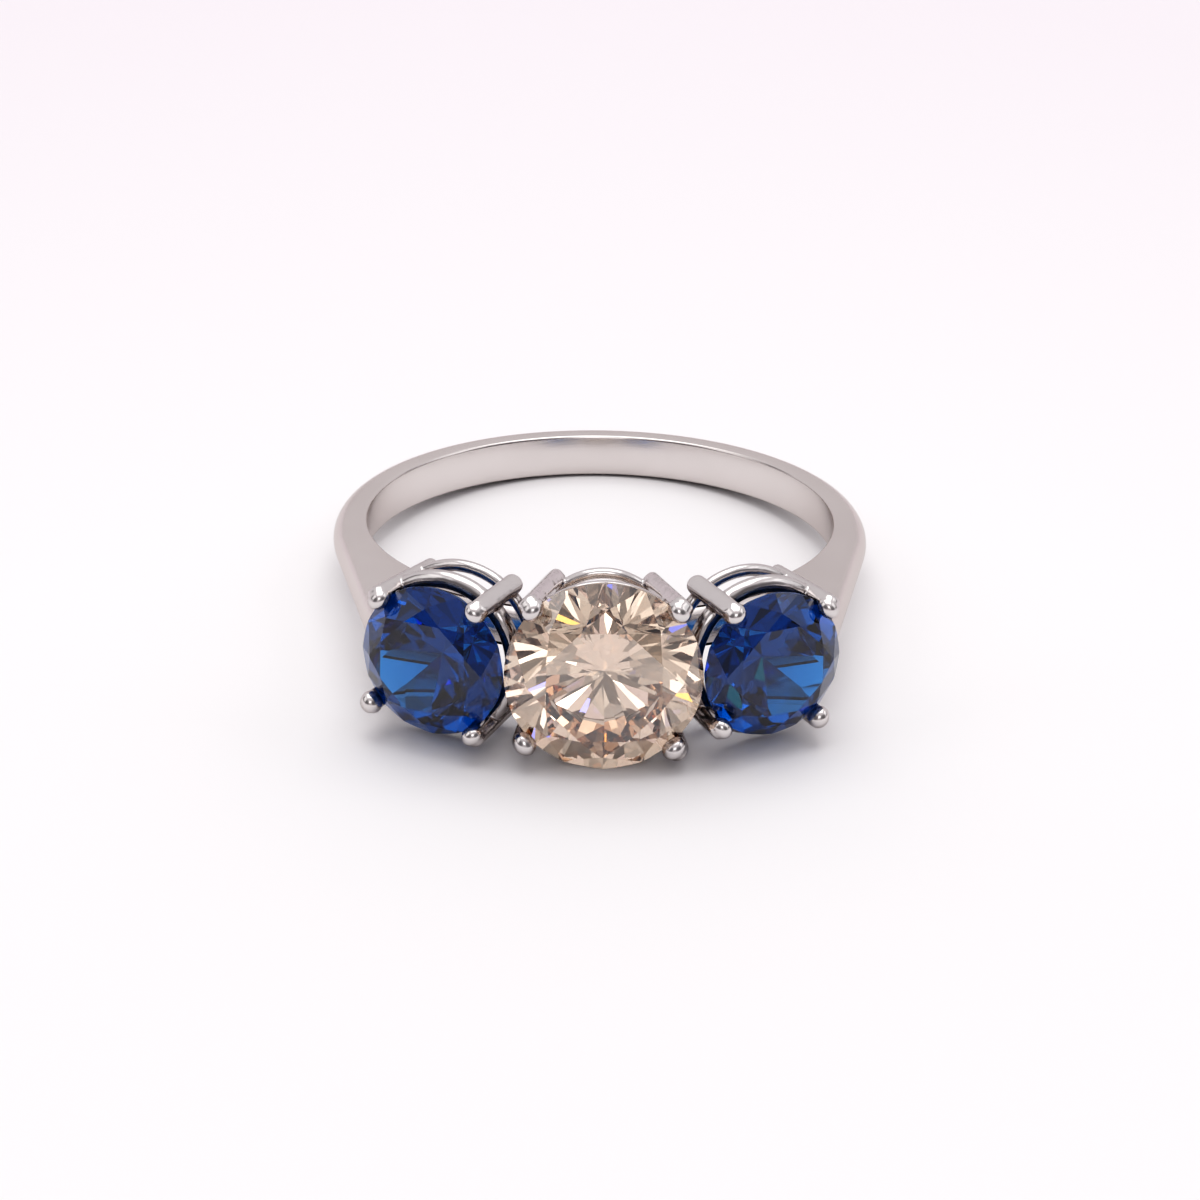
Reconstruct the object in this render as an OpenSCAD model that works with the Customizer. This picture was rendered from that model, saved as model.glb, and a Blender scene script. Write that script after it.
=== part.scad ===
/* Three-stone ring: a band with raised shoulders carries a row of three four-prong baskets.
   The ring is drawn upright about its finger axis, head towards -Y, and then laid on its side. */

/* [Band] */
// Inner diameter, for a finger of about US size 7
inner_d = 17.3; // [16.9:0.1:17.5]
// Height of the band along the finger
band_h = 1.6; // [1.4:0.1:1.8]
// Thickness from the finger hole to the crest of the outer face
band_t = 1.25; // [1.2:0.05:1.35]
// Thickness where the band passes under the baskets
under_t = 1.1; // [1:0.05:1.15]
// How far the rounded outer face stands out past its two edges
crest_rise = 0.55; // [0.4:0.05:0.6]
// Where the straight shoulders leave the round band, in degrees from the back
shoulder_from = 100; // [98:1:103]

/* [Diamond] */
// Diameter of the diamond over its girdle
diamond_d = 7; // [6.6:0.1:7]
// Distance from the finger axis to the diamond's girdle
diamond_out = 13.4; // [13.4:0.1:13.7]

/* [Sapphires] */
// Diameter of the left sapphire over its girdle
left_d = 5.5; // [5.3:0.05:5.5]
// Diameter of the right sapphire, a slightly smaller stone
right_d = 5.35; // [5.2:0.05:5.35]
// Distance from the finger axis to each sapphire's girdle
sapphire_out = 13.5; // [13.5:0.05:13.6]
// Angle by which the left sapphire faces to its side, in degrees
left_turn = 26.4; // [26.4:0.1:27]
// Angle by which the right sapphire faces to its side, in degrees
right_turn = 26.1; // [26.1:0.1:26.7]

/* [Baskets] */
// Width of a prong on the diamond
diamond_prong_w = 0.82; // [0.78:0.02:0.86]
// Width of a prong on a sapphire
sapphire_prong_w = 0.74; // [0.7:0.02:0.78]
// Thickness of a prong from its flat outer face inwards
prong_t = 0.66; // [0.6:0.02:0.7]
// How much wider than its prong a round tip is
tip_spare = 0.06; // [0.04:0.01:0.1]

/* [Fit] */
// Gap between a stone and the metal that holds it
stone_gap = 0.04; // [0.03:0.01:0.06]

/* [Hidden] */
$fn = 96;

inner_r = inner_d / 2;
crest_r = inner_r + band_t;
edge_r = crest_r - crest_rise;
half_h = band_h / 2;

// Cut of a stone, as shares of its diameter. The columns are the table's width over its
// flats, the crown's height, the pavilion's depth, the girdle's thickness, and the radii
// at which the star facets and the lower girdle facets come to their points.
diamond_cut = [0.58, 0.155, 0.43, 0.02, 0.395, 0.06];
sapphire_cut = [0.60, 0.15, 0.45, 0.02, 0.40, 0.32];

// The stones. The columns are the turn to the side, the distance out, diameter and cut.
centre_stone = [0, diamond_out, diamond_d, diamond_cut];
left_stone = [-left_turn, sapphire_out, left_d, sapphire_cut];
right_stone = [right_turn, sapphire_out, right_d, sapphire_cut];

// Prongs, one row each. The columns are the angle round the stone, how far the prong's middle
// stands outside the girdle's radius at the girdle and at its foot, the depth of the foot,
// how far the tip's middle stands outside that radius, and the tip's height.
centre_prongs = [
    [45, 0.22, -1.05, 4.65, 0.18, 0.32],
    [134, 0.22, -1.1, 4.9, 0.15, 0.35],
    [222, 0.22, -0.95, 4.5, 0.2, 0.25],
    [314, 0.2, -0.95, 4.5, 0.1, 0.3]
];
left_prongs = [
    [51, 0.29, 0.4, 2.6, 0.2, 0.38],
    [131, 0.2, -0.07, 3.5, 0.1, 0.5],
    [220, 0.2, -0.07, 3.3, 0.08, 0.5],
    [307, 0.29, 0.1, 2.8, 0.22, 0.4]
];
right_prongs = [
    [45, 0.2, 0, 3.5, 0.08, 0.45],
    [127, 0.3, 0.4, 2.6, 0.22, 0.38],
    [220, 0.3, 0.1, 2.8, 0.24, 0.5],
    [308, 0.2, -0.07, 3.3, 0.08, 0.4]
];

// Rails, one row each: how far the wire's middle lies outside the girdle's radius,
// its depth under the girdle, and the wire's thickness
diamond_rails = [[-0.47, 0.85, 0.48], [-1.25, 4.1, 0.42]];
sapphire_rails = [[-0.03, 0.98, 0.66], [-0.02, 2.4, 0.46]];
// How far a bar's rounded end stays under the middle of the round tip on it
tip_sink = 0.15;

// Length of a shoulder, its depth inwards, and the radius it is hollowed to inside its basket
shoulder_len = 8.3;
shoulder_depth = 3.4;
shoulder_bore_r = 2.25;
// Metal left inside the band for the finger hole to take away
bore_spare = 0.4;

// Measures of a stone of diameter d
function table_half(d, cut) = d * cut[0] / 2;
function corner_r(d, cut) = table_half(d, cut) / cos(22.5);
function crown_z(d, cut) = d * cut[1];
function culet_z(d, cut) = -d * cut[2];
function girdle_z(d, cut) = d * cut[3] / 2;
function star_r(d, cut) = d * cut[4];
function lower_r(d, cut) = d * cut[5];
// The star points lie where two kite facets of the crown meet
function star_z(d, cut) =
    let (slope = (crown_z(d, cut) - girdle_z(d, cut)) / (d / 2 - corner_r(d, cut)))
    crown_z(d, cut) - slope * (star_r(d, cut) * cos(22.5) - corner_r(d, cut));
// The lower points lie where two main facets of the pavilion meet
function lower_z(d, cut) =
    let (slope = (-culet_z(d, cut) - girdle_z(d, cut)) / (d / 2))
    culet_z(d, cut) + slope * lower_r(d, cut) * cos(22.5);

// n points at radius r and height z, the first one at the angle first
function ring_of(n, r, z, first) =
    [for (k = [0 : n - 1]) [r * cos(first + k * 360 / n), r * sin(first + k * 360 / n), z]];

// Lying on its side, the ring rests on the back of the band and on the diamond's girdle
lean = atan((diamond_d / 2 - half_h)
    / (diamond_out - girdle_z(diamond_d, diamond_cut) + edge_r));
rest_z = edge_r * sin(lean) + half_h * cos(lean);
dome_r = (half_h * half_h + crest_rise * crest_rise) / (2 * crest_rise);
front_y = (diamond_out + crown_z(diamond_d, diamond_cut)) * cos(lean)
    + table_half(diamond_d, diamond_cut) * sin(lean);
back_y = (crest_r - dome_r) * cos(lean) + dome_r;

// Lays the upright ring on its side, with the middle of its outline at the origin
module laid_down() {
    translate([0, (front_y - back_y) / 2, rest_z])
        rotate([-lean, 0, 0])
            children();
}

// Takes a frame with +Z facing out of the ring to its place at this turn and distance
module at_stone(turn, out) {
    rotate([90, 0, turn])
        translate([0, 0, out])
            children();
}

// D-shaped section: the crest lies at radius crest, the inner side thick further in
module band_section(crest, thick) {
    intersection() {
        translate([crest - thick, -half_h])
            square([thick, band_h]);
        union() {
            translate([crest - dome_r, 0])
                circle(dome_r);
            translate([crest - thick, -half_h])
                square([thick - crest_rise, band_h]);
        }
    }
}

// The round of the band, thinner on the stretch under the baskets, before it is bored out
module band() {
    rotate([0, 0, 90 - shoulder_from])
        rotate_extrude(angle = 2 * shoulder_from)
            band_section(crest_r, band_t + bore_spare);
    rotate([0, 0, 90 + shoulder_from])
        rotate_extrude(angle = 360 - 2 * shoulder_from)
            band_section(inner_r + under_t, under_t + bore_spare);
}

// A shoulder runs straight on from the band's right side and ends against the side basket
module shoulder(turn) {
    difference() {
        rotate([90, 0, 90 - shoulder_from])
            linear_extrude(shoulder_len)
                band_section(crest_r, shoulder_depth);
        at_stone(turn, inner_r + under_t / 2)
            cylinder(r = shoulder_bore_r, h = shoulder_len);
    }
}

// A flat bar with a rounded foot, in a row's place beside a girdle of radius r, and its tip
module prong(r, w, row) {
    fall = row[1] - row[2];
    below = norm([fall, row[3]]) - w / 2;
    above = row[5] - tip_sink;
    rotate([0, 0, row[0]]) {
        translate([r + row[1], 0, 0])
            rotate([0, atan(fall / row[3]), 0])
                rotate([90, 0, 90])
                    linear_extrude(prong_t, center = true) {
                        translate([-w / 2, -below])
                            square([w, below + above]);
                        for (z = [-below, above])
                            translate([0, z])
                                circle(d = w);
                    }
        translate([r + row[4], 0, row[5]])
            sphere(d = w + tip_spare);
    }
}

// Four prongs and the rails that join them, round a stone
module basket(stone, w, prongs, rails) {
    r = stone[2] / 2;
    at_stone(stone[0], stone[1]) {
        for (row = prongs)
            prong(r, w, row);
        for (row = rails)
            translate([0, 0, -row[1]])
                rotate_extrude()
                    translate([r + row[0], 0])
                        circle(d = row[2]);
    }
}

// Room for a stone: its outline turned about its axis, wider by the gap all round
module seat(stone) {
    g = stone_gap;
    d = stone[2];
    cut = stone[3];
    at_stone(stone[0], stone[1])
        rotate_extrude()
            polygon([
                [0, culet_z(d, cut) - 2 * g],
                [lower_r(d, cut) + g, lower_z(d, cut) - g],
                [d / 2 + g, -girdle_z(d, cut) - g],
                [d / 2 + g, girdle_z(d, cut) + g],
                [star_r(d, cut) + g, star_z(d, cut) + g],
                [corner_r(d, cut) + g, crown_z(d, cut) + g],
                [0, crown_z(d, cut) + g]
            ]);
}

// Round brilliant: table, 8 stars, 8 kites and 16 upper girdle facets on the crown,
// a girdle of 16 sides, then 16 lower girdle facets and 8 mains down to the culet
module brilliant(stone) {
    d = stone[2];
    cut = stone[3];
    table = 0;
    star = 8;
    upper = 16;
    lower = 32;
    point = 48;
    culet = 56;
    at_stone(stone[0], stone[1]) polyhedron(
        points = concat(
            ring_of(8, corner_r(d, cut), crown_z(d, cut), 22.5),
            ring_of(8, star_r(d, cut), star_z(d, cut), 0),
            ring_of(16, d / 2, girdle_z(d, cut), 0),
            ring_of(16, d / 2, -girdle_z(d, cut), 0),
            ring_of(8, lower_r(d, cut), lower_z(d, cut), 0),
            [[0, 0, culet_z(d, cut)]]
        ),
        faces = concat(
            [[for (k = [7 : -1 : 0]) table + k]],
            [for (k = [0 : 7]) [table + k, star + k, table + (k + 7) % 8]],
            [for (k = [0 : 7]) [table + k, star + (k + 1) % 8, upper + 2 * k + 1, star + k]],
            [for (k = [0 : 7]) [star + k, upper + 2 * k + 1, upper + 2 * k]],
            [for (k = [0 : 7]) [star + k, upper + 2 * k, upper + (2 * k + 15) % 16]],
            [for (j = [0 : 15])
                [upper + j, upper + (j + 1) % 16, lower + (j + 1) % 16, lower + j]],
            [for (k = [0 : 7]) [point + k, lower + 2 * k, lower + 2 * k + 1]],
            [for (k = [0 : 7]) [point + k, lower + (2 * k + 15) % 16, lower + 2 * k]],
            [for (k = [0 : 7]) [culet, point + k, lower + 2 * k + 1, point + (k + 1) % 8]]
        )
    );
}

// All the metal, soldered into one: band, shoulders and the three baskets
module band_and_settings() {
    color([0.82, 0.80, 0.79])
        laid_down()
            difference() {
                union() {
                    band();
                    shoulder(right_turn);
                    mirror([1, 0, 0])
                        shoulder(left_turn);
                    basket(centre_stone, diamond_prong_w, centre_prongs, diamond_rails);
                    basket(left_stone, sapphire_prong_w, left_prongs, sapphire_rails);
                    basket(right_stone, sapphire_prong_w, right_prongs, sapphire_rails);
                }
                cylinder(r = inner_r, h = 2 * band_h, center = true);
                for (stone = [centre_stone, left_stone, right_stone])
                    seat(stone);
            }
}

module centre_diamond() {
    color([0.88, 0.80, 0.74])
        laid_down()
            brilliant(centre_stone);
}

module left_sapphire() {
    color([0.08, 0.14, 0.42])
        laid_down()
            brilliant(left_stone);
}

module right_sapphire() {
    color([0.08, 0.14, 0.42])
        laid_down()
            brilliant(right_stone);
}

band_and_settings();
centre_diamond();
left_sapphire();
right_sapphire();
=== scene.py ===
# Three-stone ring lying on its side: a champagne diamond between two sapphires, in polished white gold
import math
import random

import bmesh
import bpy
from mathutils import Euler, Matrix, Vector


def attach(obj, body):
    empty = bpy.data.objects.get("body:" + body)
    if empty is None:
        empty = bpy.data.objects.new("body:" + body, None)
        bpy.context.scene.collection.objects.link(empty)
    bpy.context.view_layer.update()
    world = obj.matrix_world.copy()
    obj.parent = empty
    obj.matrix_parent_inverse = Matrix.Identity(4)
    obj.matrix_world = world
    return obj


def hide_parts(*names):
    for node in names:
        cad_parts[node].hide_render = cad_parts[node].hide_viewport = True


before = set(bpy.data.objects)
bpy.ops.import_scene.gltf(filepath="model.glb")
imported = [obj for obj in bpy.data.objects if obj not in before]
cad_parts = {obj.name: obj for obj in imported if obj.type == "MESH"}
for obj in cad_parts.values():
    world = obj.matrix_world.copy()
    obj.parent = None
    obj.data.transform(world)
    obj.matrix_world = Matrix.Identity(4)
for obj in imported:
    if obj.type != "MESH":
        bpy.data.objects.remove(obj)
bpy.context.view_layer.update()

# the ring is drawn upright in millimetres, finger axis along Z and head towards -Y
band = {
    "innerR": 8.65,
    "crestR": 9.9,        # top of the rounded outer face
    "edgeR": 9.35,        # where the rounded face meets the flat sides
    "halfHeight": 0.8,
    "underR": 9.75,       # outside of the stretch that runs under the baskets
    "shoulderFrom": 100,  # degrees from the back, where the outline runs straight on
    "shoulderTo": 140.3,
    "softEdge": 0.55,     # rounding of the outer edges at the back of the ring
    "crispEdge": 0.05,    # and at the ends of the shoulders
    "crispFrom": 116, "crispTo": 137,
    "innerEdge": 0.1,
    # how finely it is drawn: round the finger, then for each half of the section
    "stations": 432, "innerSteps": 3, "edgeSteps": 6, "domeSteps": 8,
    "sharpAngle": 42,
}

diamond = {
    "d": 7.0, "out": 13.4, "turn": 0,
    # shares of the diameter
    "table": 0.58, "crown": 0.155, "pavilion": 0.43, "girdle": 0.02, "star": 0.395, "lower": 0.06,
    "wander": 0.6,  # degrees by which the cutter's wheel missed, at most
}

# turned onto its side, the ring rests on the back of the band and on the diamond's girdle
metre = 0.001
halfGirdle = diamond["d"] * diamond["girdle"] / 2
lean = math.atan((diamond["d"] / 2 - band["halfHeight"]) / (diamond["out"] - halfGirdle + band["edgeR"]))
rise = band["crestR"] - band["edgeR"]
domeR = (band["halfHeight"] ** 2 + rise ** 2) / (2 * rise)
domeMiddle = band["crestR"] - domeR
frontY = (diamond["out"] + diamond["d"] * diamond["crown"]) * math.cos(lean) \
    + diamond["d"] * diamond["table"] / 2 * math.sin(lean)
backY = domeMiddle * math.cos(lean) + domeR
restZ = band["edgeR"] * math.sin(lean) + band["halfHeight"] * math.cos(lean)
layDown = (Matrix.Scale(metre, 4) @ Matrix.Translation((0, (frontY - backY) / 2, restZ))
           @ Matrix.Rotation(-lean, 4, "X"))


def stonePlace(s):
    # from a stone's own frame, table facing up, to its place on the upright ring
    return (Matrix.Rotation(math.radians(s["turn"]), 4, "Z")
            @ Matrix.Rotation(math.radians(90), 4, "X") @ Matrix.Translation((0, 0, s["out"])))


def meshObject(name, bm):
    mesh = bpy.data.meshes.new(name)
    bm.to_mesh(mesh)
    bm.free()
    piece = bpy.data.objects.new(name, mesh)
    bpy.context.scene.collection.objects.link(piece)
    return piece


def settle(piece):
    # works the piece's modifiers into its mesh
    seen = piece.evaluated_get(bpy.context.evaluated_depsgraph_get())
    mesh = bpy.data.meshes.new_from_object(seen)
    piece.modifiers.clear()
    old, piece.data = piece.data, mesh
    mesh.name = piece.name
    bpy.data.meshes.remove(old)


def finish(piece, material, node):
    piece.data.materials.clear()
    piece.data.materials.append(material)
    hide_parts(node)
    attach(piece, "root")
    print("made", piece.name, len(piece.data.polygons), "faces")


def newMaterial(name):
    material = bpy.data.materials.new(name)
    material.use_nodes = True
    nodes, links = material.node_tree.nodes, material.node_tree.links
    shader = nodes.get("Principled BSDF") or nodes.new("ShaderNodeBsdfPrincipled")
    return material, nodes, links, shader


# polished white gold, a little warm, with soft clouds in its polish, dents and very fine rubbing marks
gold = {
    "wornWhiteGold": {    # the band, rubbed satin by wear
        "colour": (0.80, 0.755, 0.74, 1), "shadeColour": (0.61, 0.57, 0.55, 1), "cloudSize": 150,
        "grazing": (0.80, 0.77, 0.76, 1), "roughness": (0.15, 0.26), "scratchDepth": 0.06,
        "dentSize": 900, "dentDepth": 0.000004, "darkAt": 0.05, "litAndCleanAt": 0.25,
    },
    "brightWhiteGold": {  # the baskets, where the polish has lasted
        "colour": (0.74, 0.71, 0.70, 1), "shadeColour": (0.66, 0.63, 0.62, 1), "cloudSize": 400,
        "grazing": (0.70, 0.67, 0.67, 1), "roughness": (0.12, 0.24), "scratchDepth": 0.05,
        "dentSize": 1300, "dentDepth": 0.00005, "darkAt": 0.14, "litAndCleanAt": 0.48,
    },
}

# painted shade with some polish dirt: corners and gaps between parts, found by an occlusion test, are
# painted near black
paintedShadeAndDirt = {"colour": (0.11, 0.09, 0.085, 1), "reach": 0.0014, "samples": 3}

rubbing = {"size": 1400, "stretch": 9, "depth": 0.00002}  # marks much longer than wide


def whiteGold(name):
    look = gold[name]
    material, nodes, links, shader = newMaterial(name)
    coords = nodes.new("ShaderNodeTexCoord")
    cloud = nodes.new("ShaderNodeTexNoise")
    cloud.inputs["Scale"].default_value = look["cloudSize"]
    cloud.inputs["Detail"].default_value = 4
    links.new(coords.outputs["Object"], cloud.inputs["Vector"])
    tint = nodes.new("ShaderNodeMix")
    tint.data_type = "RGBA"
    tint.inputs["A"].default_value = look["colour"]
    tint.inputs["B"].default_value = look["shadeColour"]
    links.new(cloud.outputs["Fac"], tint.inputs["Factor"])
    # painted shade: the occlusion test darkens the colour in corners and between parts
    corners = nodes.new("ShaderNodeAmbientOcclusion")
    corners.samples = paintedShadeAndDirt["samples"]
    corners.inputs["Distance"].default_value = paintedShadeAndDirt["reach"]
    litAndClean = nodes.new("ShaderNodeMapRange")
    litAndClean.interpolation_type = "SMOOTHSTEP"
    litAndClean.inputs["From Min"].default_value = look["darkAt"]
    litAndClean.inputs["From Max"].default_value = look["litAndCleanAt"]
    links.new(corners.outputs["AO"], litAndClean.inputs["Value"])
    surface = nodes.new("ShaderNodeMix")
    surface.data_type = "RGBA"
    surface.inputs["A"].default_value = paintedShadeAndDirt["colour"]
    links.new(litAndClean.outputs["Result"], surface.inputs["Factor"])
    links.new(tint.outputs["Result"], surface.inputs["B"])
    links.new(surface.outputs["Result"], shader.inputs["Base Color"])
    worn = nodes.new("ShaderNodeMapRange")
    worn.inputs["To Min"].default_value, worn.inputs["To Max"].default_value = look["roughness"]
    links.new(cloud.outputs["Fac"], worn.inputs["Value"])
    links.new(worn.outputs["Result"], shader.inputs["Roughness"])
    stretch = nodes.new("ShaderNodeMapping")
    stretch.inputs["Scale"].default_value = (1, 1, rubbing["stretch"])
    links.new(coords.outputs["Object"], stretch.inputs["Vector"])
    scratch = nodes.new("ShaderNodeTexNoise")
    scratch.inputs["Scale"].default_value = rubbing["size"]
    scratch.inputs["Detail"].default_value = 3
    links.new(stretch.outputs["Vector"], scratch.inputs["Vector"])
    bump = nodes.new("ShaderNodeBump")
    bump.inputs["Strength"].default_value = look["scratchDepth"]
    bump.inputs["Distance"].default_value = rubbing["depth"]
    links.new(scratch.outputs["Fac"], bump.inputs["Height"])
    # soft dents left by hammering, filing and wear
    dent = nodes.new("ShaderNodeTexNoise")
    dent.inputs["Scale"].default_value = look["dentSize"]
    dent.inputs["Detail"].default_value = 1
    links.new(coords.outputs["Object"], dent.inputs["Vector"])
    uneven = nodes.new("ShaderNodeBump")
    uneven.inputs["Distance"].default_value = look["dentDepth"]
    links.new(dent.outputs["Fac"], uneven.inputs["Height"])
    links.new(uneven.outputs["Normal"], bump.inputs["Normal"])
    links.new(bump.outputs["Normal"], shader.inputs["Normal"])
    shader.inputs["Metallic"].default_value = 1
    shader.inputs["Specular Tint"].default_value = look["grazing"]
    return material


wornGold = whiteGold("wornWhiteGold")
brightGold = whiteGold("brightWhiteGold")


def bandOutline(outerEdge):
    # half of the section, from the inner wall over the flat side to the crest, with rounded edges
    h, small = band["halfHeight"], band["innerEdge"]
    half = [(band["innerR"], 0)]
    for step in range(band["innerSteps"] + 1):
        a = math.radians(90 * step / band["innerSteps"])
        half.append((band["innerR"] + small * (1 - math.cos(a)), h - small * (1 - math.sin(a))))
    x = math.sqrt((domeR - outerEdge) ** 2 - (h - outerEdge) ** 2)
    meet = math.atan2(h - outerEdge, x)  # where the rounded edge runs into the dome
    for step in range(band["edgeSteps"] + 1):
        a = math.pi / 2 + (meet - math.pi / 2) * step / band["edgeSteps"]
        half.append((domeMiddle + x + outerEdge * math.cos(a), h - outerEdge + outerEdge * math.sin(a)))
    for step in range(1, band["domeSteps"] + 1):
        a = meet * (1 - step / band["domeSteps"])
        half.append((domeMiddle + domeR * math.cos(a), domeR * math.sin(a)))
    return half + [(r, -z) for r, z in half[-2:0:-1]]


def smoothStep(value, low, high):
    t = min(max((value - low) / (high - low), 0), 1)
    return t * t * (3 - 2 * t)


def makeBand():
    # the section stands at the back of the ring and is spun once round the finger axis
    bm = bmesh.new()
    along = bm.verts.layers.int.new("along")
    corners = [bm.verts.new((0, r, z)) for r, z in bandOutline(band["softEdge"])]
    for i, v in enumerate(corners):
        v[along] = i
    section = [bm.edges.new(pair) for pair in zip(corners, corners[1:] + corners[:1])]
    bmesh.ops.spin(bm, geom=section, cent=(0, 0, 0), axis=(0, 0, 1), angle=math.tau,
                   steps=band["stations"], use_merge=True)
    # past the start of the shoulders the outside runs out to a straight line, and its edges turn crisp
    start, stop = band["shoulderFrom"], band["shoulderTo"]
    flat = band["innerR"] + band["innerEdge"]  # where the flat side begins
    for v in bm.verts:
        t = abs(math.degrees(math.atan2(v.co.x, v.co.y)))
        crisp = smoothStep(t, band["crispFrom"], band["crispTo"])
        edge = band["softEdge"] + (band["crispEdge"] - band["softEdge"]) * crisp
        r, v.co.z = bandOutline(edge)[v[along]]
        if start < t <= stop:
            out = (r - flat) / (band["edgeR"] - flat)
            r *= 1 + (1 / math.cos(math.radians(t - start)) - 1) * min(max(out, 0), 1)
        elif t > stop:
            r = max(r - band["crestR"] + band["underR"], band["innerR"]) if r > band["edgeR"] else r
        turn = r / math.hypot(v.co.x, v.co.y)
        v.co.x *= turn
        v.co.y *= turn
    bmesh.ops.recalc_face_normals(bm, faces=bm.faces)
    piece = meshObject("shankAndShoulders", bm)
    piece.data.transform(layDown)
    piece.data.shade_smooth()
    piece.data.set_sharp_from_angle(angle=math.radians(band["sharpAngle"]))
    even = piece.modifiers.new("evenShading", "WEIGHTED_NORMAL")
    even.keep_sharp = True
    settle(piece)
    finish(piece, wornGold, "band_and_settings")


makeBand()


# stones, ground facet by facet from a disc as a cutter does
leftSapphire = {
    "d": 5.5, "out": 13.5, "turn": -26.4,
    "table": 0.60, "crown": 0.15, "pavilion": 0.45, "girdle": 0.02, "star": 0.40, "lower": 0.32,
    "wander": 0.8,
}
rightSapphire = {**leftSapphire, "d": 5.35, "turn": 26.1}  # a slightly smaller stone
stones = [diamond, leftSapphire, rightSapphire]

glass = {
    # tint of all light that comes out, then the body's colour and how fast it works per metre
    "champagneDiamond": {
        "refraction": 2.42, "tint": (1, 1, 1, 1), "body": (0.80, 0.58, 0.37, 1), "strength": 122,
    },
    "blueSapphire": {
        "refraction": 1.77, "tint": (0.15, 0.34, 0.80, 1), "body": (0.0, 0.76, 0.84, 1), "strength": 1250,
    },
}
girdleFrost = 0.5  # roughness of the girdle, which is ground but not polished


def stoneGlass(name):
    look = glass[name]
    material, nodes, links, shader = newMaterial(name)
    shader.inputs["Base Color"].default_value = look["tint"]
    ground = nodes.new("ShaderNodeAttribute")
    ground.attribute_name = "girdle"
    frost = nodes.new("ShaderNodeMapRange")
    frost.inputs["To Max"].default_value = girdleFrost
    links.new(ground.outputs["Fac"], frost.inputs["Value"])
    links.new(frost.outputs["Result"], shader.inputs["Roughness"])
    shader.inputs["IOR"].default_value = look["refraction"]
    shader.inputs["Transmission Weight"].default_value = 1
    inside = nodes.new("ShaderNodeVolumeAbsorption")
    inside.inputs["Color"].default_value = look["body"]
    inside.inputs["Density"].default_value = look["strength"]
    links.new(inside.outputs["Volume"], nodes["Material Output"].inputs["Volume"])
    return material


diamondMaterial = stoneGlass("champagneDiamond")
sapphireMaterial = stoneGlass("blueSapphire")


cutting = {
    "discSides": 96, "fold": 8, "seed": 11,
    "snap": 0.0001, "merge": 0.0005,  # distances at which points count as one
    "upright": 0.05,                  # faces as steep as this belong to the girdle
}


def cutStone(s):
    bm = bmesh.new()
    hand = random.Random(cutting["seed"])
    wander = math.radians(s["wander"])
    fold = cutting["fold"]
    step = 360 / fold
    half, top, bottom = s["d"] / 2, s["d"] * s["crown"], -s["d"] * s["pavilion"]
    edge = s["d"] * s["girdle"] / 2
    flat = s["d"] * s["table"] / 2
    corner = flat / math.cos(math.pi / fold)
    starR, lowerR = s["d"] * s["star"], s["d"] * s["lower"]
    starZ = top - (top - edge) / (half - corner) * (starR * math.cos(math.pi / fold) - corner)
    lowerZ = bottom + (-bottom - edge) / half * lowerR * math.cos(math.pi / fold)
    bmesh.ops.create_cone(bm, segments=cutting["discSides"], radius1=half, radius2=half, depth=2 * s["d"],
                          cap_ends=True)

    def at(degrees, r, z):
        return Vector((r * math.cos(math.radians(degrees)), r * math.sin(math.radians(degrees)), z))

    def grind(a, b, c):
        normal = (b - a).cross(c - a).normalized()
        if normal.dot(a) < 0:
            normal = -normal
        normal.rotate(Euler((hand.uniform(-wander, wander), hand.uniform(-wander, wander), 0)))
        done = bmesh.ops.bisect_plane(bm, geom=bm.verts[:] + bm.edges[:] + bm.faces[:],
                                      dist=cutting["snap"], plane_co=a, plane_no=normal, clear_outer=True)
        rim = [g for g in done["geom_cut"] if isinstance(g, bmesh.types.BMEdge)]
        bmesh.ops.contextual_create(bm, geom=rim)

    # the table first, then the main facets, then stars and halves
    bmesh.ops.bisect_plane(bm, geom=bm.verts[:] + bm.edges[:] + bm.faces[:], dist=cutting["snap"],
                           plane_co=(0, 0, top), plane_no=(0, 0, 1), clear_outer=True)
    bmesh.ops.contextual_create(bm, geom=[e for e in bm.edges if e.is_boundary])
    for k in range(fold):
        main = step * (k + 0.5)
        across = at(main + 90, 1, 0)
        outer = at(main, half, edge)
        grind(at(main, corner, top), outer, outer + across)
        outer = at(main, half, -edge)
        grind(at(main, 0, bottom), outer, outer + across)
    for k in range(fold):
        star = step * k
        point = at(star, flat, top)
        grind(point, at(star, starR, starZ), point + at(star + 90, 1, 0))
        for beside in (star - step / 2, star + step / 2):
            grind(at(star, starR, starZ), at(star, half, edge), at(beside, half, edge))
            grind(at(star, lowerR, lowerZ), at(star, half, -edge), at(beside, half, -edge))
    bmesh.ops.remove_doubles(bm, verts=bm.verts, dist=cutting["merge"])
    bmesh.ops.recalc_face_normals(bm, faces=bm.faces)
    girdle = bm.faces.layers.float.new("girdle")
    for face in bm.faces:
        face[girdle] = 1 if abs(face.normal.z) < cutting["upright"] else 0
    return bm


for name, node, s, material, slot in (
    ("champagneDiamond", "centre_diamond", diamond, diamondMaterial, "diamond"),
    ("leftSapphire", "left_sapphire", leftSapphire, sapphireMaterial, "sapphire"),
    ("rightSapphire", "right_sapphire", rightSapphire, sapphireMaterial, "sapphire"),
):
    stone = meshObject(name, cutStone(s))
    stone.data.transform(layDown @ stonePlace(s))
    finish(stone, material, node)


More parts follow.
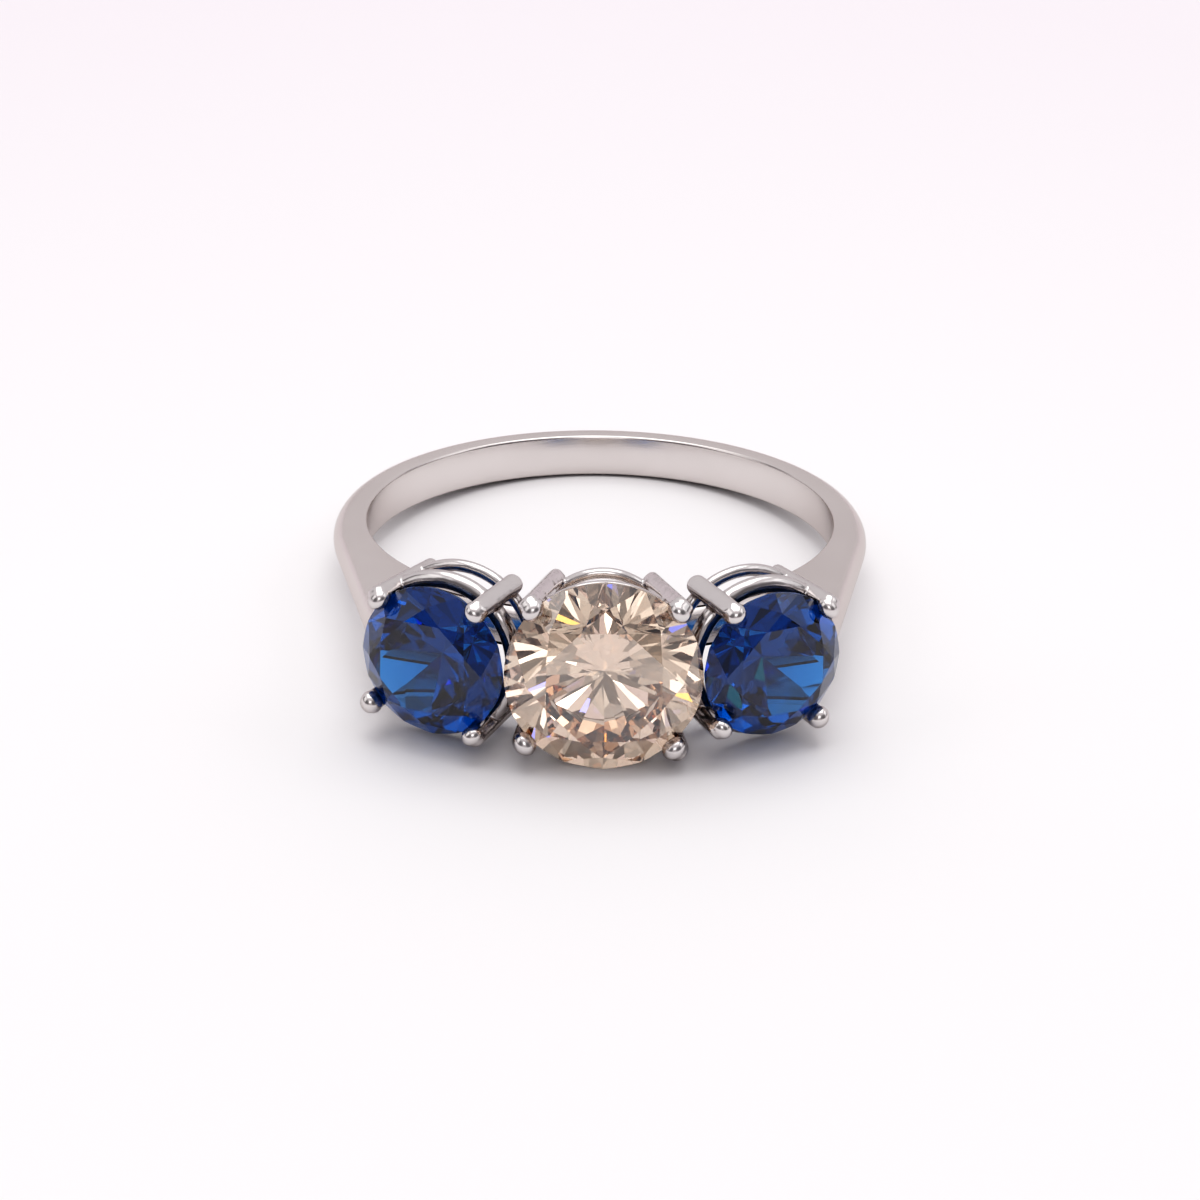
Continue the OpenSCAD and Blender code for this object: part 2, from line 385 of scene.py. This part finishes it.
# baskets: prongs and rails melted into one casting, with a seat cut for the stone
diamondBasket = {
    "prongW": 0.82,
    "prongs": [
        # angle round the stone, then the prong's middle outside the girdle's radius at the girdle
        # and at its foot, the foot's depth, and the tip's middle outside that radius and its height
        (45, 0.22, -1.05, 4.65, 0.18, 0.32),
        (134, 0.22, -1.1, 4.9, 0.15, 0.35),
        (222, 0.22, -0.95, 4.5, 0.2, 0.25),
        (314, 0.2, -0.95, 4.5, 0.1, 0.3),
    ],
    # each wire's middle outside the girdle's radius, its depth and its thickness
    "rails": [(-0.47, 0.85, 0.48), (-1.25, 4.1, 0.42)],
}

leftBasket = {
    "prongW": 0.74,
    "prongs": [
        (51, 0.29, 0.4, 2.6, 0.2, 0.38),
        (131, 0.2, -0.07, 3.5, 0.1, 0.5),
        (220, 0.2, -0.07, 3.3, 0.08, 0.5),
        (307, 0.29, 0.1, 2.8, 0.22, 0.4),
    ],
    "rails": [(-0.03, 0.98, 0.66), (-0.02, 2.4, 0.46)],
}

rightBasket = {
    "prongW": 0.74,
    "prongs": [
        (45, 0.2, 0, 3.5, 0.08, 0.45),
        (127, 0.3, 0.4, 2.6, 0.22, 0.38),
        (220, 0.3, 0.1, 2.8, 0.24, 0.5),
        (308, 0.2, -0.07, 3.3, 0.08, 0.4),
    ],
    "rails": [(-0.03, 0.98, 0.66), (-0.02, 2.4, 0.46)],
}

casting = {
    "prongT": 0.66, "prongEdge": 0.24,
    "tipSpare": 0.1,   # how much wider than its prong a round tip is
    "tipThick": 0.84,  # share of that width which the tip has from its outer side inwards
    "tipSink": 0.15,   # how far a bar's round end stays under the middle of its tip
    "grain": 0.04,     # size of the cells that melt prongs and rails into one
    "polish": 10,      # rounds of smoothing afterwards
    "seatGap": 0.04,
    # how finely the parts are drawn before they are melted
    "prongSides": 32, "tipRings": 20, "wireSides": 24, "wireSteps": 160, "seatSteps": 128,
    "sharpAngle": 40,
}


def seatCutter(s):
    gap = casting["seatGap"]
    half, top, bottom = s["d"] / 2, s["d"] * s["crown"], -s["d"] * s["pavilion"]
    edge = s["d"] * s["girdle"] / 2
    corner = s["d"] * s["table"] / 2 / math.cos(math.pi / cutting["fold"])
    lowerR = s["d"] * s["lower"]
    lowerZ = bottom + (-bottom - edge) / half * lowerR * math.cos(math.pi / cutting["fold"])
    bm = bmesh.new()
    outline = [(0, bottom - 2 * gap), (lowerR + gap, lowerZ - gap), (half + gap, -edge - gap),
               (half + gap, edge + gap), (corner + gap, top + gap), (0, top + gap)]
    points = [bm.verts.new((r, 0, z)) for r, z in outline]
    rim = [bm.edges.new(pair) for pair in zip(points, points[1:])]
    bmesh.ops.spin(bm, geom=rim, cent=(0, 0, 0), axis=(0, 0, 1), angle=math.tau,
                   steps=casting["seatSteps"], use_merge=True)
    bmesh.ops.remove_doubles(bm, verts=bm.verts, dist=cutting["snap"])
    bmesh.ops.recalc_face_normals(bm, faces=bm.faces)
    return meshObject("seatCutter", bm)


def addProng(bm, girdleR, w, row):
    angle, top, foot, footDepth, tipOut, tipRise = row
    below = math.hypot(top - foot, footDepth) - w / 2
    sides = casting["prongSides"]
    made = bmesh.ops.create_cone(bm, segments=sides, radius1=w / 2, radius2=w / 2,
                                 depth=casting["prongT"], cap_ends=True)
    bar = made["verts"]
    bmesh.ops.rotate(bm, verts=bar, cent=(0, 0, 0), matrix=Matrix.Rotation(math.pi / sides, 3, "Z"))
    bmesh.ops.rotate(bm, verts=bar, cent=(0, 0, 0), matrix=Matrix.Rotation(math.radians(90), 3, "Y"))
    # the lower half of the disc goes down to the foot and the upper half up to the tip
    low = [v for v in bar if v.co.z < 0]
    high = [v for v in bar if v.co.z > 0]
    bmesh.ops.translate(bm, verts=low, vec=(0, 0, -below))
    bmesh.ops.translate(bm, verts=high, vec=(0, 0, tipRise - casting["tipSink"]))
    rims = [e for v in bar for e in v.link_edges
            if abs(e.verts[0].co.x - e.verts[1].co.x) < 0.01]
    done = bmesh.ops.bevel(bm, geom=list(set(rims)), offset=casting["prongEdge"], segments=4, profile=0.5,
                           affect="EDGES", material=-1)
    bar = list({v for v in bar if v.is_valid} | set(done["verts"]))
    tilt = (Matrix.Translation((girdleR + top, 0, 0))
            @ Matrix.Rotation(math.atan((top - foot) / footDepth), 4, "Y"))
    bmesh.ops.transform(bm, matrix=tilt, verts=bar)
    tip = bmesh.ops.create_uvsphere(bm, u_segments=sides, v_segments=casting["tipRings"],
                                    radius=(w + casting["tipSpare"]) / 2)["verts"]
    bmesh.ops.scale(bm, verts=tip, vec=(casting["tipThick"], 1, 1))
    bmesh.ops.translate(bm, verts=tip, vec=(girdleR + tipOut, 0, tipRise))
    bmesh.ops.rotate(bm, verts=bar + tip, cent=(0, 0, 0),
                     matrix=Matrix.Rotation(math.radians(angle), 3, "Z"))


def addRail(bm, railR, depth, thick):
    ring = bmesh.ops.create_circle(bm, segments=casting["wireSides"], radius=thick / 2)["verts"]
    bmesh.ops.rotate(bm, verts=ring, cent=(0, 0, 0), matrix=Matrix.Rotation(math.radians(90), 3, "X"))
    bmesh.ops.translate(bm, verts=ring, vec=(railR, 0, -depth))
    edges = list({e for v in ring for e in v.link_edges})
    bmesh.ops.spin(bm, geom=edges, cent=(0, 0, 0), axis=(0, 0, 1), angle=math.tau,
                   steps=casting["wireSteps"], use_merge=True)


def makeBasket(name, b, s):
    bm = bmesh.new()
    girdleR = s["d"] / 2
    for row in b["prongs"]:
        addProng(bm, girdleR, b["prongW"], row)
    for out, depth, thick in b["rails"]:
        addRail(bm, girdleR + out, depth, thick)
    bmesh.ops.recalc_face_normals(bm, faces=bm.faces)
    piece = meshObject(name, bm)
    melt = piece.modifiers.new("melt", "REMESH")
    melt.mode = "VOXEL"
    melt.voxel_size = casting["grain"]
    polish = piece.modifiers.new("polish", "SMOOTH")
    polish.iterations = casting["polish"]
    polish.factor = 0.5
    settle(piece)
    piece.data.transform(stonePlace(s))
    # the neighbours' stones take their room from this basket too
    for stone in stones:
        cutter = seatCutter(stone)
        cutter.data.transform(stonePlace(stone))
        seat = piece.modifiers.new("seat", "BOOLEAN")
        seat.operation = "DIFFERENCE"
        seat.solver = "MANIFOLD"
        seat.object = cutter
        settle(piece)
        bpy.data.objects.remove(cutter)
    piece.data.transform(layDown)
    piece.data.shade_smooth()
    piece.data.set_sharp_from_angle(angle=math.radians(casting["sharpAngle"]))
    finish(piece, brightGold, "band_and_settings")


makeBasket("diamondBasket", diamondBasket, diamond)
makeBasket("leftSapphireBasket", leftBasket, leftSapphire)
makeBasket("rightSapphireBasket", rightBasket, rightSapphire)


# the camera stands to the ring as it does in the photograph
view = {"focal": 5531.106, "distance": 200, "elevation": 21.966, "yaw": -0.891, "roll": 0.815,
        "target": (-0.059, -6.273, 0), "frame": 1200, "sensor": 36}


def addCamera():
    el, yaw, roll = (math.radians(view[k]) for k in ("elevation", "yaw", "roll"))
    back = Vector((math.sin(yaw) * math.cos(el), -math.cos(yaw) * math.cos(el), math.sin(el)))
    place = Vector(view["target"]) + back * view["distance"]
    right = (-back).cross(Vector((0, 0, 1))).normalized()
    up = right.cross(-back)
    turn = Matrix((math.cos(roll) * right + math.sin(roll) * up,
                   math.cos(roll) * up - math.sin(roll) * right, back)).transposed().to_4x4()
    data = bpy.data.cameras.new("photoCamera")
    data.sensor_width = view["sensor"]
    data.lens = view["focal"] * view["sensor"] / view["frame"]
    data.clip_start, data.clip_end = 0.01, 20
    camera = bpy.data.objects.new("photoCamera", data)
    camera.matrix_world = Matrix.Translation(layDown @ place) @ Matrix.Rotation(-lean, 4, "X") @ turn
    bpy.context.scene.collection.objects.link(camera)
    bpy.context.scene.camera = camera
    print("camera stands at", [round(x, 4) for x in camera.matrix_world.translation])


addCamera()


studio = {
    "floorSize": 6, "floorRoughness": 0.9, "floorColour": (0.945, 0.935, 0.94, 1),
    # painted fall-off of the light: the paper is painted darker and pinker at the far side; and how far
    # from its middle this begins and is full
    "paintedFalloffColour": (0.90, 0.85, 0.89, 1), "middle": (0, -0.02, 0), "tintFrom": 0.03, "tintTo": 0.08,
    "lights": [
        # name, place, size, power, colour
        ("overheadBox", (0.0, 0.12, 0.55), 0.5, 1.3, (1, 0.99, 0.985)),
        ("leftBox", (-0.5, -0.1, 0.35), 0.35, 0.3, (1, 0.985, 0.98)),
        ("rightBox", (0.5, 0.05, 0.35), 0.35, 0.3, (0.985, 0.985, 1)),
        ("frontFill", (0.0, -0.6, 0.45), 0.3, 0.42, (1, 0.99, 1)),
    ],
    "room": (0.80, 0.77, 0.79, 1),
    "cards": [
        # cards and screens round the ring: direction, angles where each is full and gone, colour
        ((0, -1, 0.25), 25, 70, (0.60, 0.57, 0.58, 1)),
        ((-0.66, -0.65, 0.37), 8, 38, (0.20, 0.19, 0.20, 1)),
        ((0.66, -0.65, 0.37), 8, 38, (0.20, 0.19, 0.20, 1)),
        ((-1, 0.1, 0.5), 12, 22, (0.20, 0.19, 0.20, 1)),
        ((1, 0.2, 0.45), 12, 22, (0.20, 0.19, 0.20, 1)),
    ],
    # what the cut stones gather: patches as of windows, walls and furniture, from dark to bright
    "patchSize": 10.0,
    "patches": [(0, 0.17), (0.2, 0.40), (0.42, 0.56), (0.62, 0.76), (0.9, 0.95)],
    # and small lamps that a diamond breaks into colours
    "sparkSize": 12.0,
    "sparks": [(0, (0, 0, 0)), (0.95, (2.6, 1.6, 0.3)), (0.962, (2.4, 0.7, 0.15)),
               (0.97, (0.3, 0.5, 2.8)), (0.98, (2.6, 2.6, 2.6))],
    # light turns many times inside a cut stone before it leaves
    "turns": 28, "mirrorTurns": 20,
    # contrast of the camera: what each brightness is shown as
    "contrast": [(0, 0), (0.05, 0.02), (0.15, 0.105), (0.35, 0.32), (0.7, 0.71), (1, 1)],
}


def paleRoom():
    world = bpy.data.worlds.new("paleRoom")
    world.use_nodes = True
    nodes, links = world.node_tree.nodes, world.node_tree.links
    sky = nodes.get("Background") or nodes.new("ShaderNodeBackground")
    coords = nodes.new("ShaderNodeTexCoord")
    seen = None
    for direction, full, gone, colour in studio["cards"]:
        near = nodes.new("ShaderNodeVectorMath")
        near.operation = "DOT_PRODUCT"
        near.inputs[1].default_value = Vector(direction).normalized()
        links.new(coords.outputs["Generated"], near.inputs[0])
        fade = nodes.new("ShaderNodeMapRange")
        fade.interpolation_type = "SMOOTHSTEP"
        fade.inputs["From Min"].default_value = math.cos(math.radians(gone))
        fade.inputs["From Max"].default_value = math.cos(math.radians(full))
        links.new(near.outputs["Value"], fade.inputs["Value"])
        card = nodes.new("ShaderNodeMix")
        card.data_type = "RGBA"
        card.inputs["A"].default_value, card.inputs["B"].default_value = studio["room"], colour
        if seen:
            links.new(seen, card.inputs["A"])
        links.new(fade.outputs["Result"], card.inputs["Factor"])
        seen = card.outputs["Result"]

    def cells(size, table):
        # patches of even colour, picked for each cell from the table
        cell = nodes.new("ShaderNodeTexVoronoi")
        cell.inputs["Scale"].default_value = size
        links.new(coords.outputs["Generated"], cell.inputs["Vector"])
        split = nodes.new("ShaderNodeSeparateColor")
        links.new(cell.outputs["Color"], split.inputs["Color"])
        steps = nodes.new("ShaderNodeValToRGB")
        steps.color_ramp.interpolation = "CONSTANT"
        while len(steps.color_ramp.elements) < len(table):
            steps.color_ramp.elements.new(1)
        for element, (start, colour) in zip(steps.color_ramp.elements, table):
            element.position = start
            element.color = (*colour, 1)
        links.new(split.outputs["Red"], steps.inputs["Fac"])
        return steps.outputs["Color"]

    busy = nodes.new("ShaderNodeMix")
    busy.data_type, busy.blend_type = "RGBA", "ADD"
    busy.inputs["Factor"].default_value = 1
    greys = [(start, (bright, bright, bright)) for start, bright in studio["patches"]]
    links.new(cells(studio["patchSize"], greys), busy.inputs["A"])
    links.new(cells(studio["sparkSize"], studio["sparks"]), busy.inputs["B"])
    path = nodes.new("ShaderNodeLightPath")
    choose = nodes.new("ShaderNodeMix")
    choose.data_type = "RGBA"
    links.new(path.outputs["Is Transmission Ray"], choose.inputs["Factor"])
    links.new(seen, choose.inputs["A"])
    links.new(busy.outputs["Result"], choose.inputs["B"])
    links.new(choose.outputs["Result"], sky.inputs["Color"])
    return world


def makeStudio():
    bm = bmesh.new()
    bmesh.ops.create_grid(bm, x_segments=1, y_segments=1, size=studio["floorSize"] / 2)
    floor = meshObject("whitePaper", bm)
    material, nodes, links, shader = newMaterial("whitePaper")
    shader.inputs["Roughness"].default_value = studio["floorRoughness"]
    coords = nodes.new("ShaderNodeTexCoord")
    middle = nodes.new("ShaderNodeMapping")
    middle.vector_type = "TEXTURE"
    middle.inputs["Location"].default_value = studio["middle"]
    middle.inputs["Scale"].default_value = (studio["tintTo"],) * 3
    links.new(coords.outputs["Object"], middle.inputs["Vector"])
    fall = nodes.new("ShaderNodeTexGradient")
    fall.gradient_type = "SPHERICAL"
    links.new(middle.outputs["Vector"], fall.inputs["Vector"])
    near = nodes.new("ShaderNodeMapRange")
    near.inputs["From Max"].default_value = 1 - studio["tintFrom"] / studio["tintTo"]
    links.new(fall.outputs["Fac"], near.inputs["Value"])
    # painted light fall-off: darker, pinker paper away from the middle
    paper = nodes.new("ShaderNodeMix")
    paper.data_type = "RGBA"
    paper.inputs["A"].default_value = studio["paintedFalloffColour"]
    paper.inputs["B"].default_value = studio["floorColour"]
    links.new(near.outputs["Result"], paper.inputs["Factor"])
    links.new(paper.outputs["Result"], shader.inputs["Base Color"])
    floor.data.materials.append(material)
    for name, place, size, power, colour in studio["lights"]:
        data = bpy.data.lights.new(name, "AREA")
        data.shape = "SQUARE"
        data.size, data.energy, data.color = size, power, colour
        lamp = bpy.data.objects.new(name, data)
        lamp.location = place
        lamp.rotation_euler = (-Vector(place)).to_track_quat("-Z", "Y").to_euler()
        bpy.context.scene.collection.objects.link(lamp)
    scene = bpy.context.scene
    scene.world = paleRoom()
    look = scene.view_settings
    look.view_transform = "Standard"
    look.use_curve_mapping = True
    look.curve_mapping.extend = "EXTRAPOLATED"
    curve = look.curve_mapping.curves[3]
    for bright, shown in studio["contrast"][1:-1]:
        curve.points.new(bright, shown)
    look.curve_mapping.update()
    scene.cycles.max_bounces = scene.cycles.transmission_bounces = studio["turns"]
    scene.cycles.glossy_bounces = studio["mirrorTurns"]
    print("studio ready")


makeStudio()

bpy.context.view_layer.update()
